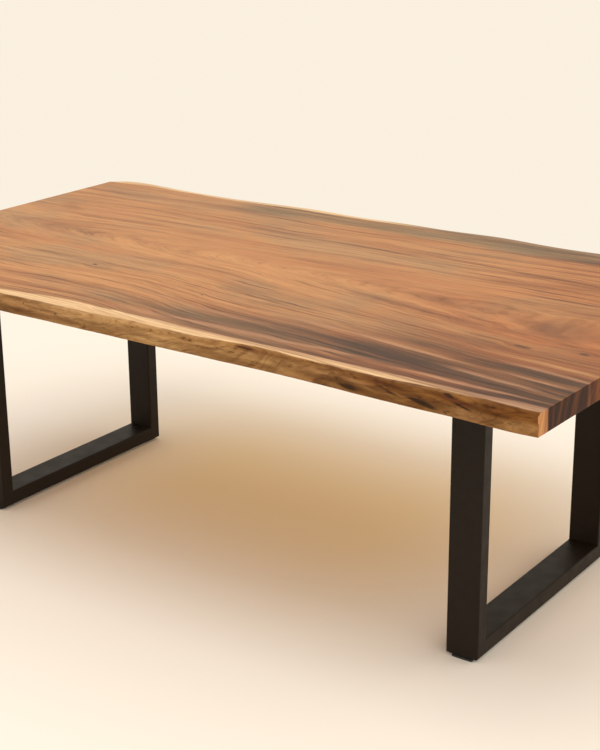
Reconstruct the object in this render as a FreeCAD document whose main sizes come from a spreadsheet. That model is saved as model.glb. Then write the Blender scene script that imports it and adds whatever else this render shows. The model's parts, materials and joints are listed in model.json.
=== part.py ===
import FreeCAD, Part
import math
import os
import Sketcher
from FreeCAD import Vector

# Live edge dining table: one solid wooden slab on two rectangular steel frames.
# Millimetres. X runs along the grain to the right, Y to the back and Z up. The origin
# is on the floor, under the middle of the tabletop's outline.
#
# Every size that can be set by itself is a cell of the sheet "Sizes". Places and seats
# are worked out from those cells.

SIZES = {
    # alias: (value, what it is)
    "table_height": (750, "floor to the top of the slab"),
    "slab_length": (2164, "longest extent of the slab along the grain"),
    "slab_width": (1212, "widest extent of the slab across the grain"),
    "slab_thickness": (50, "thickness of the slab"),
    "left_skew": (4, "how far the left saw cut runs out of square across the width"),
    "right_skew": (26, "how far the right saw cut runs out of square across the width"),
    "arris_roll": (8, "depth of the rolled top edge along the live edges"),
    "left_overhang": (312.5, "left end of the slab's outline to the middle of the left frame"),
    "right_overhang": (324.5, "right end of the slab's outline to the middle of the right frame"),
    "frame_width": (680, "outer width of a frame, front to back"),
    "tube_width": (84, "wide side of the rectangular tube"),
    "tube_depth": (40, "narrow side of the rectangular tube"),
    "tube_wall": (3, "wall of the rectangular tube"),
    "tube_round": (4, "outer corner radius of the rectangular tube"),
    "plate_thickness": (6, "thickness of the top plates"),
    "plate_bolt_edge": (17, "middle of a plate bolt from the long edge of the plate"),
    "plate_bolt_gap": (55, "middle of an outer plate bolt from the inside of the post"),
    "plate_slot_length": (22, "length of the slots in the plates, end to end"),
    "plate_bolt_radius": (4, "shank of the plate bolts, M8"),
    "plate_bolt_length": (30, "plate bolts, under the head"),
    "plate_head_flats": (13, "plate bolts, across the flats of the head"),
    "plate_head_height": (5.3, "plate bolts, height of the head"),
    "plate_washer_radius": (12, "outer radius of the plate bolts' washers"),
    "plate_washer_thickness": (2, "thickness of the plate bolts' washers"),
    "plate_insert_radius": (7, "outer radius of the plate bolts' threaded inserts"),
    "plate_insert_length": (25, "length of the plate bolts' threaded inserts"),
    "channel_spacing": (760, "middle of one stiffening channel to the middle of the other"),
    "channel_length": (880, "length of the stiffening channels"),
    "channel_width": (50, "web of the stiffening channels"),
    "channel_height": (20, "flanges of the stiffening channels, with the web"),
    "channel_wall": (3, "web and flange thickness of the stiffening channels"),
    "channel_end": (60, "middle of an outer channel bolt from the end of the channel"),
    "channel_slot_length": (18, "length of the slots in the channels, end to end"),
    "channel_clearance": (1, "room round the channels in their grooves"),
    "channel_bolt_radius": (3, "shank of the channel bolts, M6"),
    "channel_bolt_length": (20, "channel bolts, under the head"),
    "channel_head_flats": (10, "channel bolts, across the flats of the head"),
    "channel_head_height": (4, "channel bolts, height of the head"),
    "channel_washer_radius": (9, "outer radius of the channel bolts' washers"),
    "channel_washer_thickness": (1.6, "thickness of the channel bolts' washers"),
    "channel_insert_radius": (5, "outer radius of the channel bolts' threaded inserts"),
    "channel_insert_length": (15, "length of the channel bolts' threaded inserts"),
    "hole_clearance": (0.5, "radial room of a bolt or stem in a plain hole or slot"),
    "thread_clearance": (0.05, "radial room between a thread and its mate"),
    "pilot_depth": (4, "depth of a pilot hole past the tip of its bolt"),
    "pad_size": (54, "side of the square base of a levelling foot"),
    "pad_thickness": (5, "thickness of that base"),
    "pad_round": (5, "corner radius of that base"),
    "pad_chamfer": (1, "chamfer round the top of that base"),
    "collar_flats": (19, "levelling foot, across the flats of the hex collar"),
    "collar_height": (3, "levelling foot, height of the hex collar"),
    "stem_radius": (5, "levelling foot, threaded stem, M10"),
    "stem_length": (32, "levelling foot, stem above the collar"),
    "stem_chamfer": (1, "chamfer at the tip of the stem"),
    "spigot_radius": (4, "levelling foot, spigot that turns in the base"),
    "spigot_length": (3, "length of that spigot"),
    "spigot_room": (0.3, "room under the spigot in the base"),
    "nut_flats": (17, "weld nuts, across the flats"),
    "nut_height": (9, "height of the weld nuts"),
}

# The live edges, from the left end of the slab to the right: how far along the edge the
# point lies, from 0 to 1, how far the edge's widest line lies inside the slab's full
# width, and how much further in the underside and the top face end.
NEAR_EDGE = (
    (0.000, 28, 8, 5),
    (0.083, 16, 10, 5),
    (0.167, 8, 10, 5),
    (0.242, 18, 11, 5),
    (0.310, 21, 13, 4),
    (0.419, 11, 17, 4),
    (0.504, 11, 17, 4),
    (0.597, 9, 22, 5),
    (0.635, 21, 9, 4),
    (0.678, 26, 2, 10),
    (0.734, 21, 6, 4),
    (0.785, 14, 8, 4),
    (0.831, 4, 11, 4),
    (0.875, 0, 11, 7),
    (0.901, 3, 8, 6),
    (0.941, 0, 8, 17),
    (0.960, 2, 4, 12),
    (1.000, 3, 4, 8),
)
FAR_EDGE = (
    (0.000, 54, 8, 4),
    (0.018, 26, 9, 4),
    (0.065, 12, 10, 4),
    (0.128, 26, 9, 5),
    (0.186, 33, 7, 5),
    (0.240, 35, 8, 4),
    (0.300, 25, 9, 4),
    (0.390, 18, 8, 5),
    (0.443, 26, 7, 5),
    (0.500, 21, 10, 4),
    (0.580, 24, 12, 4),
    (0.650, 13, 8, 5),
    (0.713, 25, 9, 4),
    (0.757, 28, 10, 5),
    (0.800, 24, 11, 4),
    (0.862, 10, 12, 4),
    (0.913, 0, 12, 5),
    (0.960, 3, 10, 5),
    (1.000, 13, 8, 5),
)
BULGE_HEIGHT = 0.45  # of the thickness: where a live edge leaves its underside line
BULGE = 0.45  # of the underside's inset that is left at that height
ROLL_STEPS = 3  # sections that make the rolled top edge

doc = FreeCAD.newDocument("live_edge_dining_table")
sheet = doc.addObject("Spreadsheet::Sheet", "Sizes")


# ---- sizes ---------------------------------------------------------------------------

def fill_sheet():
    for row, (alias, (value, meaning)) in enumerate(SIZES.items(), start=1):
        sheet.set(f"A{row}", meaning)
        sheet.set(f"B{row}", str(value))
        sheet.setAlias(f"B{row}", alias)
    doc.recompute()


def size(expression):
    """The value of an expression of the sheet's cells, in millimetres."""
    return float(sheet.evalExpression(expression))


# Heights and places that several pieces share, as expressions of the cells.
SLAB_UNDERSIDE = "(Sizes.table_height - Sizes.slab_thickness)"
PLATE_UNDERSIDE = f"({SLAB_UNDERSIDE} - Sizes.plate_thickness)"
RAIL_UNDERSIDE = "(Sizes.pad_thickness + Sizes.collar_height)"
POST_LENGTH = f"({PLATE_UNDERSIDE} - {RAIL_UNDERSIDE})"
POST_Y = "(Sizes.frame_width / 2 - Sizes.tube_depth / 2)"
FRAME_X = {
    "left": "(Sizes.left_overhang - Sizes.slab_length / 2)",
    "right": "(Sizes.slab_length / 2 - Sizes.right_overhang)",
}
FOOT_Y = "(Sizes.frame_width / 2 - Sizes.pad_size / 2)"
PLATE_BOLT_X = "(Sizes.tube_width / 2 - Sizes.plate_bolt_edge)"
PLATE_BOLT_Y = "(Sizes.frame_width / 2 - Sizes.tube_depth - Sizes.plate_bolt_gap)"
CHANNEL_X = "(Sizes.channel_spacing / 2)"
CHANNEL_BOLT_Y = "(Sizes.channel_length / 2 - Sizes.channel_end)"
PLATE_HOLE = "(Sizes.plate_bolt_radius + Sizes.hole_clearance)"
CHANNEL_HOLE = "(Sizes.channel_bolt_radius + Sizes.hole_clearance)"
FRONT_AND_REAR = {"front": -1, "rear": 1}


def plate_bolt_places():
    """Middles of the plate bolts: three rows of two under each frame."""
    for side in FRAME_X.values():
        for column in (-1, 1):
            for row in (-1, 0, 1):
                x = size(side) + column * size(PLATE_BOLT_X)
                yield x, row * size(PLATE_BOLT_Y)


def channel_bolt_places():
    """Middles of the channel bolts: a row of five in each channel."""
    for side in (-1, 1):
        for step in (-2, -1, 0, 1, 2):
            yield side * size(CHANNEL_X), step * size(CHANNEL_BOLT_Y) / 2


def foot_places():
    for side in FRAME_X.values():
        for end in FRONT_AND_REAR.values():
            yield size(side), end * size(FOOT_Y)


# ---- bodies and sketches -------------------------------------------------------------

def new_body(label):
    body = doc.addObject("PartDesign::Body", label)
    body.Label = label
    return body


def new_sketch(body, plane, height="0"):
    """A sketch on one of the body's own origin planes, lifted by height."""
    sketch = body.newObject("Sketcher::SketchObject", "sketch")
    support = next(item for item in body.Origin.OriginFeatures if item.Role == plane)
    sketch.AttachmentSupport = (support, [""])
    sketch.MapMode = "FlatFace"
    sketch.setExpression("AttachmentOffset.Base.z", height)
    return sketch


def bind(sketch, expression, kind, *elements):
    """A constraint whose value is an expression of the cells."""
    index = sketch.addConstraint(Sketcher.Constraint(kind, *elements, size(expression)))
    sketch.setExpression(f"Constraints[{index}]", expression)


def rounded_rectangle(sketch, width, depth, radius):
    """A rectangle with rounded corners, its middle on the sketch's origin."""
    half_x, half_y, r = size(width) / 2, size(depth) / 2, size(radius)
    corners = ((1, 1, 0), (-1, 1, 90), (-1, -1, 180), (1, -1, 270))
    arcs = []
    for x_side, y_side, start in corners:
        centre = Vector(x_side * (half_x - r), y_side * (half_y - r), 0)
        circle = Part.Circle(centre, Vector(0, 0, 1), r)
        arc = Part.ArcOfCircle(circle, math.radians(start), math.radians(start + 90))
        arcs.append(sketch.addGeometry(arc))
    for first, second in zip(arcs, arcs[1:] + arcs[:1]):
        start = sketch.getPoint(first, 2)
        end = sketch.getPoint(second, 1)
        line = sketch.addGeometry(Part.LineSegment(start, end))
        sketch.addConstraint(Sketcher.Constraint("Tangent", first, 2, line, 1))
        sketch.addConstraint(Sketcher.Constraint("Tangent", line, 2, second, 1))
        flat = "Horizontal" if abs(start.y - end.y) < abs(start.x - end.x) else "Vertical"
        sketch.addConstraint(Sketcher.Constraint(flat, line))
    for arc in arcs[1:]:
        sketch.addConstraint(Sketcher.Constraint("Equal", arcs[0], arc))
    bind(sketch, radius, "Radius", arcs[0])
    # the first arc starts on the right side, and ends on the far side
    sketch.addConstraint(Sketcher.Constraint("Symmetric", arcs[0], 3, arcs[2], 3, -1, 1))
    bind(sketch, f"{width} / 2", "DistanceX", -1, 1, arcs[0], 1)
    bind(sketch, f"{depth} / 2", "DistanceY", -1, 1, arcs[0], 2)


def polygon(sketch, corners):
    """A closed polygon. Each corner is a pair of expressions."""
    points = [Vector(size(x), size(y), 0) for x, y in corners]
    lines = []
    for start, end in zip(points, points[1:] + points[:1]):
        lines.append(sketch.addGeometry(Part.LineSegment(start, end)))
    for line, (x, y) in zip(lines, corners):
        bind(sketch, x, "DistanceX", -1, 1, line, 1)
        bind(sketch, y, "DistanceY", -1, 1, line, 1)
    for line, following in zip(lines, lines[1:] + lines[:1]):
        sketch.addConstraint(Sketcher.Constraint("Coincident", line, 2, following, 1))


def hexagon(sketch, flats):
    """A regular hexagon round the sketch's origin, measured across its flats."""
    outer = size(flats) / math.sqrt(3)
    corners = [Vector(outer * math.cos(math.radians(turn)),
                      outer * math.sin(math.radians(turn)), 0)
               for turn in range(0, 360, 60)]
    circle = sketch.addGeometry(Part.Circle(Vector(), Vector(0, 0, 1), outer), True)
    sketch.addConstraint(Sketcher.Constraint("Coincident", circle, 3, -1, 1))
    bind(sketch, f"{flats} / sqrt(3)", "Radius", circle)
    lines = []
    for start, end in zip(corners, corners[1:] + corners[:1]):
        lines.append(sketch.addGeometry(Part.LineSegment(start, end)))
    for line, following in zip(lines, lines[1:] + lines[:1]):
        sketch.addConstraint(Sketcher.Constraint("Coincident", line, 2, following, 1))
        sketch.addConstraint(Sketcher.Constraint("PointOnObject", line, 1, circle))
    for line in lines[1:]:
        sketch.addConstraint(Sketcher.Constraint("Equal", lines[0], line))
    sketch.addConstraint(Sketcher.Constraint("PointOnObject", lines[0], 1, -1))


def round_hole(sketch, x, y, x_side, y_side, radius):
    """A circle at x, y, which are expressions of zero or more, on the given sides."""
    centre = Vector(x_side * size(x), y_side * size(y), 0)
    circle = sketch.addGeometry(Part.Circle(centre, Vector(0, 0, 1), size(radius)))
    bind(sketch, radius, "Radius", circle)
    bind(sketch, f"{x_side} * {x}", "DistanceX", -1, 1, circle, 3)
    bind(sketch, f"{y_side} * {y}", "DistanceY", -1, 1, circle, 3)


def slot(sketch, x, y, x_side, y_side, radius, length):
    """A slot along the sketch's second axis, its middle at x, y on the given sides."""
    r, reach = size(radius), size(length) / 2 - size(radius)
    middle = Vector(x_side * size(x), y_side * size(y), 0)
    ends = []
    for side, start in ((1, 0), (-1, 180)):
        centre = middle + Vector(0, side * reach, 0)
        circle = Part.Circle(centre, Vector(0, 0, 1), r)
        arc = Part.ArcOfCircle(circle, math.radians(start), math.radians(start + 180))
        ends.append(sketch.addGeometry(arc))
    for first, second in (ends, ends[::-1]):
        start = sketch.getPoint(first, 2)
        end = sketch.getPoint(second, 1)
        line = sketch.addGeometry(Part.LineSegment(start, end))
        sketch.addConstraint(Sketcher.Constraint("Tangent", first, 2, line, 1))
        sketch.addConstraint(Sketcher.Constraint("Tangent", line, 2, second, 1))
    bind(sketch, radius, "Radius", ends[0])
    for arc, side in zip(ends, (1, -1)):
        across = f"{x_side} * {x}"
        along = f"{y_side} * {y} + {side} * ({length} / 2 - {radius})"
        bind(sketch, across, "DistanceX", -1, 1, arc, 3)
        bind(sketch, along, "DistanceY", -1, 1, arc, 3)


def pad(body, sketch, length, both_sides=False):
    feature = body.newObject("PartDesign::Pad", "pad")
    feature.Profile = sketch
    feature.SideType = "Symmetric" if both_sides else "One side"
    feature.setExpression("Length", length)
    doc.recompute()
    return feature


def pocket(body, sketch, length, upwards=False, both_sides=False):
    """Cut away a sketch's outline, and make sure that it took something."""
    before = body.Shape.Volume
    feature = body.newObject("PartDesign::Pocket", "pocket")
    feature.Profile = sketch
    feature.SideType = "Symmetric" if both_sides else "One side"
    feature.Reversed = upwards
    feature.setExpression("Length", length)
    doc.recompute()
    if not body.Shape.Volume < before:
        raise RuntimeError(f"a pocket of {body.Label} cuts nothing")
    return feature


def place(item, x, y, z, turn=0):
    """Put a body at expressions of the cells, turned about Z."""
    item.Placement = FreeCAD.Placement(Vector(), FreeCAD.Rotation(Vector(0, 0, 1), turn))
    for axis, expression in zip("xyz", (x, y, z)):
        item.setExpression(f".Placement.Base.{axis}", expression)


def group(label, template, places, height):
    """Copies of a template's solid at each x, y, as one node."""
    copies = []
    for x, y in places:
        copy = template.Shape.copy()
        copy.translate(Vector(x, y, height))
        copies.append(copy)
    node = doc.addObject("Part::Feature", label)
    node.Label = label
    node.Shape = Part.makeCompound(copies)
    return node


# ---- the slab ------------------------------------------------------------------------

def edge_point(row, side, inset, height):
    """A point of a live edge: side is -1 in front and 1 at the back."""
    along = row[0]
    length, width = size("Sizes.slab_length"), size("Sizes.slab_width")
    y = side * (width / 2 - inset)
    across = (width / 2 + y) / width
    left = -length / 2 + size("Sizes.left_skew") * across
    right = length / 2 - size("Sizes.right_skew") * (1 - across)
    return Vector(left + along * (right - left), y, height)


def edge_curve(rows, side, extra_inset, height):
    points = []
    for row in rows:
        widest, below, above = row[1:]
        points.append(edge_point(row, side, widest + extra_inset(below, above), height))
    curve = Part.BSplineCurve()
    curve.interpolate(Points=points, Parameters=[row[0] for row in rows])
    return curve.toShape(), points[0], points[-1]


def slab_section(height, extra_inset):
    """The slab's outline at a height above its underside, as a closed wire."""
    near, near_left, near_right = edge_curve(NEAR_EDGE, -1, extra_inset, height)
    far, far_left, far_right = edge_curve(FAR_EDGE, 1, extra_inset, height)
    right_end = Part.makeLine(near_right, far_right)
    left_end = Part.makeLine(far_left, near_left)
    return Part.Wire([near, right_end, far, left_end])


def slab_blank():
    """The board: the live edges lean out from the underside and roll over at the top."""
    thickness, roll = size("Sizes.slab_thickness"), size("Sizes.arris_roll")
    sections = [slab_section(0, lambda below, above: below)]
    bulge_height = BULGE_HEIGHT * thickness
    sections.append(slab_section(bulge_height, lambda below, above: BULGE * below))
    for step in range(ROLL_STEPS + 1):
        turn = math.radians(90 * step / ROLL_STEPS)
        height = thickness - roll * (1 - math.sin(turn))
        share = 1 - math.cos(turn)
        sections.append(slab_section(height, lambda below, above, s=share: s * above))
    return Part.makeLoft(sections, True, True)


def insert_hole(x, y, kind):
    """A blind hole for a threaded insert, with a pilot for the bolt beyond it."""
    passed = size({"plate": "Sizes.plate_thickness", "channel": "Sizes.channel_wall"}[kind])
    start = size("Sizes.channel_wall") if kind == "channel" else 0
    radius = size(f"Sizes.{kind}_insert_radius") + size("Sizes.thread_clearance")
    wide = Part.makeCylinder(radius, start + size(f"Sizes.{kind}_insert_length"), Vector(x, y, 0))
    reach = size(f"Sizes.{kind}_bolt_length") - size(f"Sizes.{kind}_washer_thickness")
    depth = start + reach - passed + size("Sizes.pilot_depth")
    pilot = size(f"Sizes.{kind}_bolt_radius") + size("Sizes.hole_clearance")
    return wide.fuse(Part.makeCylinder(pilot, depth, Vector(x, y, 0)))


def channel_groove(x):
    """The recess for a channel's web and the two grooves for its flanges."""
    room, wall = size("Sizes.channel_clearance"), size("Sizes.channel_wall")
    width, length = size("Sizes.channel_width"), size("Sizes.channel_length") + 2 * room
    low = Vector(x - width / 2 - room, -length / 2, 0)
    recess = Part.makeBox(width + 2 * room, length, wall, low)
    groove_width = wall + 2 * room
    depth = size("Sizes.channel_height") + room
    right = low + Vector(width + 2 * room - groove_width, 0, 0)
    left_groove = Part.makeBox(groove_width, length, depth, low)
    right_groove = Part.makeBox(groove_width, length, depth, right)
    return recess.fuse([left_groove, right_groove])


def make_slab():
    cuts = [channel_groove(side * size(CHANNEL_X)) for side in (-1, 1)]
    cuts += [insert_hole(x, y, "plate") for x, y in plate_bolt_places()]
    cuts += [insert_hole(x, y, "channel") for x, y in channel_bolt_places()]
    node = doc.addObject("Part::Feature", "tabletop_slab")
    node.Label = "tabletop_slab"
    node.Shape = slab_blank().cut(cuts)
    node.Placement.Base = Vector(0, 0, size(SLAB_UNDERSIDE))
    return node


# ---- the frames ----------------------------------------------------------------------

def tube_profile(body, plane):
    """The tube's section: a rectangle with rounded corners, hollow."""
    sketch = new_sketch(body, plane)
    width, depth, radius = "Sizes.tube_width", "Sizes.tube_depth", "Sizes.tube_round"
    rounded_rectangle(sketch, width, depth, radius)
    inside = [f"({side} - 2 * Sizes.tube_wall)" for side in (width, depth)]
    rounded_rectangle(sketch, *inside, f"({radius} - Sizes.tube_wall)")
    return sketch


def make_post(side, end):
    """An upright tube, mitred at its foot so that its outer face is the longest."""
    body = new_body(f"{side}_{end}_post")
    pad(body, tube_profile(body, "XY_Plane"), POST_LENGTH)
    mitre = new_sketch(body, "YZ_Plane")
    half = "Sizes.tube_depth / 2"
    # local Y 0 is the middle of the tube, whose outer wall is on the negative side
    corners = ((f"-{half}", "0"), (half, "0"), (half, "Sizes.tube_depth"))
    polygon(mitre, corners)
    pocket(body, mitre, "2 * Sizes.tube_width", both_sides=True)
    y_side = FRONT_AND_REAR[end]
    place(body, FRAME_X[side], f"{y_side} * {POST_Y}", RAIL_UNDERSIDE, turn=90 + 90 * y_side)
    return body


def make_rail(side):
    """The bottom tube, mitred at both ends, with a hole for each foot's stem."""
    body = new_body(f"{side}_bottom_rail")
    pad(body, tube_profile(body, "XZ_Plane"), "Sizes.frame_width", both_sides=True)
    half, end = "Sizes.tube_depth / 2", "Sizes.frame_width / 2"
    for y_side in ("", "-"):
        mitre = new_sketch(body, "YZ_Plane")
        toe, heel = f"{y_side}({end})", f"{y_side}({end} - Sizes.tube_depth)"
        polygon(mitre, ((toe, f"-{half}"), (toe, half), (heel, half)))
        pocket(body, mitre, "2 * Sizes.tube_width", both_sides=True)
    holes = new_sketch(body, "XY_Plane", f"-{half} - Sizes.tube_wall")
    for y_side in (-1, 1):
        round_hole(holes, "0", FOOT_Y, 1, y_side, "(Sizes.stem_radius + Sizes.hole_clearance)")
    pocket(body, holes, "3 * Sizes.tube_wall", upwards=True)
    place(body, FRAME_X[side], "0", f"{RAIL_UNDERSIDE} + {half}")
    return body


def make_plate(side):
    """The flat top plate, slotted so that the slab can move across its grain."""
    body = new_body(f"{side}_top_plate")
    outline = new_sketch(body, "XY_Plane")
    rounded_rectangle(outline, "Sizes.tube_width", "Sizes.frame_width", "Sizes.tube_round")
    pad(body, outline, "Sizes.plate_thickness")
    holes = new_sketch(body, "XY_Plane")
    for x_side in (-1, 1):
        round_hole(holes, PLATE_BOLT_X, "0", x_side, 1, PLATE_HOLE)
        for y_side in (-1, 1):
            slot(holes, PLATE_BOLT_X, PLATE_BOLT_Y, x_side, y_side,
                 PLATE_HOLE, "Sizes.plate_slot_length")
    pocket(body, holes, "2 * Sizes.plate_thickness", upwards=True)
    place(body, FRAME_X[side], "0", PLATE_UNDERSIDE)
    return body


# ---- the stiffening channels ---------------------------------------------------------

def make_channel(side, x_side):
    """A steel channel across the grain: web flush with the underside, flanges up."""
    body = new_body(f"{side}_stiffening_channel")
    web = new_sketch(body, "XY_Plane")
    rounded_rectangle(web, "Sizes.channel_width", "Sizes.channel_length", "Sizes.channel_wall")
    pad(body, web, "Sizes.channel_height")
    trough = new_sketch(body, "XZ_Plane")
    inner = "Sizes.channel_width / 2 - Sizes.channel_wall"
    floor, rim = "Sizes.channel_wall", "2 * Sizes.channel_height"
    polygon(trough, ((f"-({inner})", floor), (inner, floor), (inner, rim), (f"-({inner})", rim)))
    pocket(body, trough, "2 * Sizes.channel_length", both_sides=True)
    holes = new_sketch(body, "XY_Plane")
    round_hole(holes, "0", "0", 1, 1, CHANNEL_HOLE)
    for y_side in (-1, 1):
        for y in (f"({CHANNEL_BOLT_Y} / 2)", CHANNEL_BOLT_Y):
            slot(holes, "0", y, 1, y_side, CHANNEL_HOLE, "Sizes.channel_slot_length")
    pocket(body, holes, "2 * Sizes.channel_wall", upwards=True)
    place(body, f"{x_side} * {CHANNEL_X}", "0", SLAB_UNDERSIDE)
    return body


# ---- fasteners: one template of each, and a group of copies --------------------------

def hex_bolt(kind):
    """A hex bolt, head down, the underside of its head at Z 0."""
    body = new_body(f"{kind}_bolt_template")
    head = new_sketch(body, "XY_Plane", f"-Sizes.{kind}_head_height")
    hexagon(head, f"Sizes.{kind}_head_flats")
    pad(body, head, f"Sizes.{kind}_head_height")
    shank = new_sketch(body, "XY_Plane")
    round_hole(shank, "0", "0", 1, 1, f"Sizes.{kind}_bolt_radius")
    pad(body, shank, f"Sizes.{kind}_bolt_length")
    return body


def ring(name, outer, inner, height):
    """A plain ring that stands on Z 0, such as a washer or a threaded insert."""
    body = new_body(name)
    outline = new_sketch(body, "XY_Plane")
    round_hole(outline, "0", "0", 1, 1, outer)
    round_hole(outline, "0", "0", 1, 1, inner)
    pad(body, outline, height)
    return body


def make_fasteners(kind, places, seat):
    """Bolts, washers and inserts at each place. The washers bear on the seat."""
    washer = ring(f"{kind}_washer_template", f"Sizes.{kind}_washer_radius",
                  f"(Sizes.{kind}_bolt_radius + Sizes.hole_clearance)",
                  f"Sizes.{kind}_washer_thickness")
    insert = ring(f"{kind}_insert_template", f"Sizes.{kind}_insert_radius",
                  f"(Sizes.{kind}_bolt_radius + Sizes.thread_clearance)",
                  f"Sizes.{kind}_insert_length")
    bolt = hex_bolt(kind)
    insert_start = size(SLAB_UNDERSIDE)
    if kind == "channel":
        insert_start += size("Sizes.channel_wall")
    head = size(seat) - size(f"Sizes.{kind}_washer_thickness")
    places = list(places)
    return [
        group(f"{kind}_bolts", bolt, places, head),
        group(f"{kind}_washers", washer, places, head),
        group(f"{kind}_threaded_inserts", insert, places, insert_start),
    ]


# ---- the levelling feet --------------------------------------------------------------

def make_foot_base(side, end):
    """The square base that stands on the floor, with a blind socket for the spigot."""
    body = new_body(f"{side}_{end}_foot_base")
    outline = new_sketch(body, "XY_Plane")
    rounded_rectangle(outline, "Sizes.pad_size", "Sizes.pad_size", "Sizes.pad_round")
    block = pad(body, outline, "Sizes.pad_thickness")
    top = size("Sizes.pad_thickness")
    rim = [f"Edge{number}" for number, edge in enumerate(block.Shape.Edges, start=1)
           if edge.BoundBox.ZMin > top - 0.001]
    chamfer = body.newObject("PartDesign::Chamfer", "chamfer")
    chamfer.Base = (block, rim)
    chamfer.setExpression("Size", "Sizes.pad_chamfer")
    doc.recompute()
    socket = new_sketch(body, "XY_Plane", "Sizes.pad_thickness")
    round_hole(socket, "0", "0", 1, 1, "(Sizes.spigot_radius + Sizes.thread_clearance)")
    pocket(body, socket, "Sizes.spigot_length + Sizes.spigot_room")
    place(body, FRAME_X[side], f"{FRONT_AND_REAR[end]} * {FOOT_Y}", "0")
    return body


def make_foot_stem(side, end):
    """The stem: a spigot in the base, a hex collar under the rail, and the thread."""
    body = new_body(f"{side}_{end}_foot_stem")
    collar = new_sketch(body, "XY_Plane")
    hexagon(collar, "Sizes.collar_flats")
    pad(body, collar, "Sizes.collar_height")
    spigot = new_sketch(body, "XY_Plane", "-Sizes.spigot_length")
    round_hole(spigot, "0", "0", 1, 1, "Sizes.spigot_radius")
    pad(body, spigot, "Sizes.spigot_length")
    thread = new_sketch(body, "XY_Plane", "Sizes.collar_height")
    round_hole(thread, "0", "0", 1, 1, "Sizes.stem_radius")
    shaft = pad(body, thread, "Sizes.stem_length")
    tip = size("Sizes.collar_height + Sizes.stem_length")
    rim = [f"Edge{number}" for number, edge in enumerate(shaft.Shape.Edges, start=1)
           if edge.BoundBox.ZMin > tip - 0.001]
    chamfer = body.newObject("PartDesign::Chamfer", "chamfer")
    chamfer.Base = (shaft, rim)
    chamfer.setExpression("Size", "Sizes.stem_chamfer")
    y = f"{FRONT_AND_REAR[end]} * {FOOT_Y}"
    place(body, FRAME_X[side], y, "Sizes.pad_thickness")
    return body


def make_weld_nuts():
    """Hex nuts on the floor of the rails, over the holes for the stems."""
    body = new_body("weld_nut_template")
    outline = new_sketch(body, "XY_Plane")
    hexagon(outline, "Sizes.nut_flats")
    round_hole(outline, "0", "0", 1, 1, "(Sizes.stem_radius + Sizes.thread_clearance)")
    pad(body, outline, "Sizes.nut_height")
    floor = size(f"{RAIL_UNDERSIDE} + Sizes.tube_wall")
    return group("foot_weld_nuts", body, foot_places(), floor)


# ---- the whole table -----------------------------------------------------------------

def make_nodes():
    nodes = [make_slab()]
    for side in FRAME_X:
        nodes += [make_post(side, end) for end in FRONT_AND_REAR]
        nodes += [make_rail(side), make_plate(side)]
        for end in FRONT_AND_REAR:
            nodes += [make_foot_base(side, end), make_foot_stem(side, end)]
    nodes += [make_channel("left", -1), make_channel("right", 1)]
    nodes += make_fasteners("plate", plate_bolt_places(), PLATE_UNDERSIDE)
    nodes += make_fasteners("channel", channel_bolt_places(), SLAB_UNDERSIDE)
    nodes.append(make_weld_nuts())
    return nodes


def check(nodes):
    """Stop if any object failed, or if a node's shape is empty or broken."""
    for item in doc.Objects:
        if "Invalid" in item.State or "Error" in item.State:
            raise RuntimeError(f"{item.Label} failed: {item.State}")
    for node in nodes:
        if node.Shape.isNull() or not node.Shape.isValid() or not node.Shape.Solids:
            raise RuntimeError(f"{node.Label} has no good shape")


def write(nodes):
    os.makedirs("parts", exist_ok=True)
    for node in nodes:
        node.Shape.exportStep(f"parts/{node.Label}.step")
        box = node.Shape.BoundBox
        corners = (box.XMin, box.YMin, box.ZMin, box.XMax, box.YMax, box.ZMax)
        solids = len(node.Shape.Solids)
        print(node.Label, solids, "solids", [round(corner, 1) for corner in corners])


fill_sheet()
table = make_nodes()
doc.recompute()
check(table)
write(table)
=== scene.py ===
"""The looks of a live edge dining table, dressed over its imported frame.

Metres. X runs along the grain to the right, Y to the back and Z up. The origin is on the
floor, under the middle of the top.
"""

import json
import math

import bpy
import numpy as np
from mathutils import Matrix, Vector, noise
from mathutils.bvhtree import BVHTree
from mathutils.geometry import delaunay_2d_cdt


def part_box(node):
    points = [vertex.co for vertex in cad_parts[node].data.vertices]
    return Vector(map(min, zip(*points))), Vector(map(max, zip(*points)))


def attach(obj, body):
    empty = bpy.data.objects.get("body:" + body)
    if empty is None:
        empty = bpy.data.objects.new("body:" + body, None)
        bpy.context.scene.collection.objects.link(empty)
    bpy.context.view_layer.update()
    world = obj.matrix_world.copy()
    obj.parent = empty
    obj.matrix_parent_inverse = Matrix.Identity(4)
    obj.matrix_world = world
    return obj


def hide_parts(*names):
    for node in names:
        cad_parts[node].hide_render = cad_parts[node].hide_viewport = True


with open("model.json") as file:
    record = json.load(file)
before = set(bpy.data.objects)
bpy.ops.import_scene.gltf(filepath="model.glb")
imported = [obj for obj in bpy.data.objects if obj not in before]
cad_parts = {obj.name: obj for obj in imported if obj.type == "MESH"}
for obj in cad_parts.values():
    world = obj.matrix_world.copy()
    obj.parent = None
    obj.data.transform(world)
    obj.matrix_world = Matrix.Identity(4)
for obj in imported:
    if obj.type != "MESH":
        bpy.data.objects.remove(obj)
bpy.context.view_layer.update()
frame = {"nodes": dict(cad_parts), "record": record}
nodes = frame["nodes"]
SLAB_LOW, SLAB_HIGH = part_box("tabletop_slab")
UNDERSIDE, TOP = SLAB_LOW.z, SLAB_HIGH.z
LEVEL = 1e-5  # heights that differ by less are one


def add_object(name, data):
    made = bpy.data.objects.new(name, data)
    bpy.context.collection.objects.link(made)
    return made


# ---- camera ----

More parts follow.
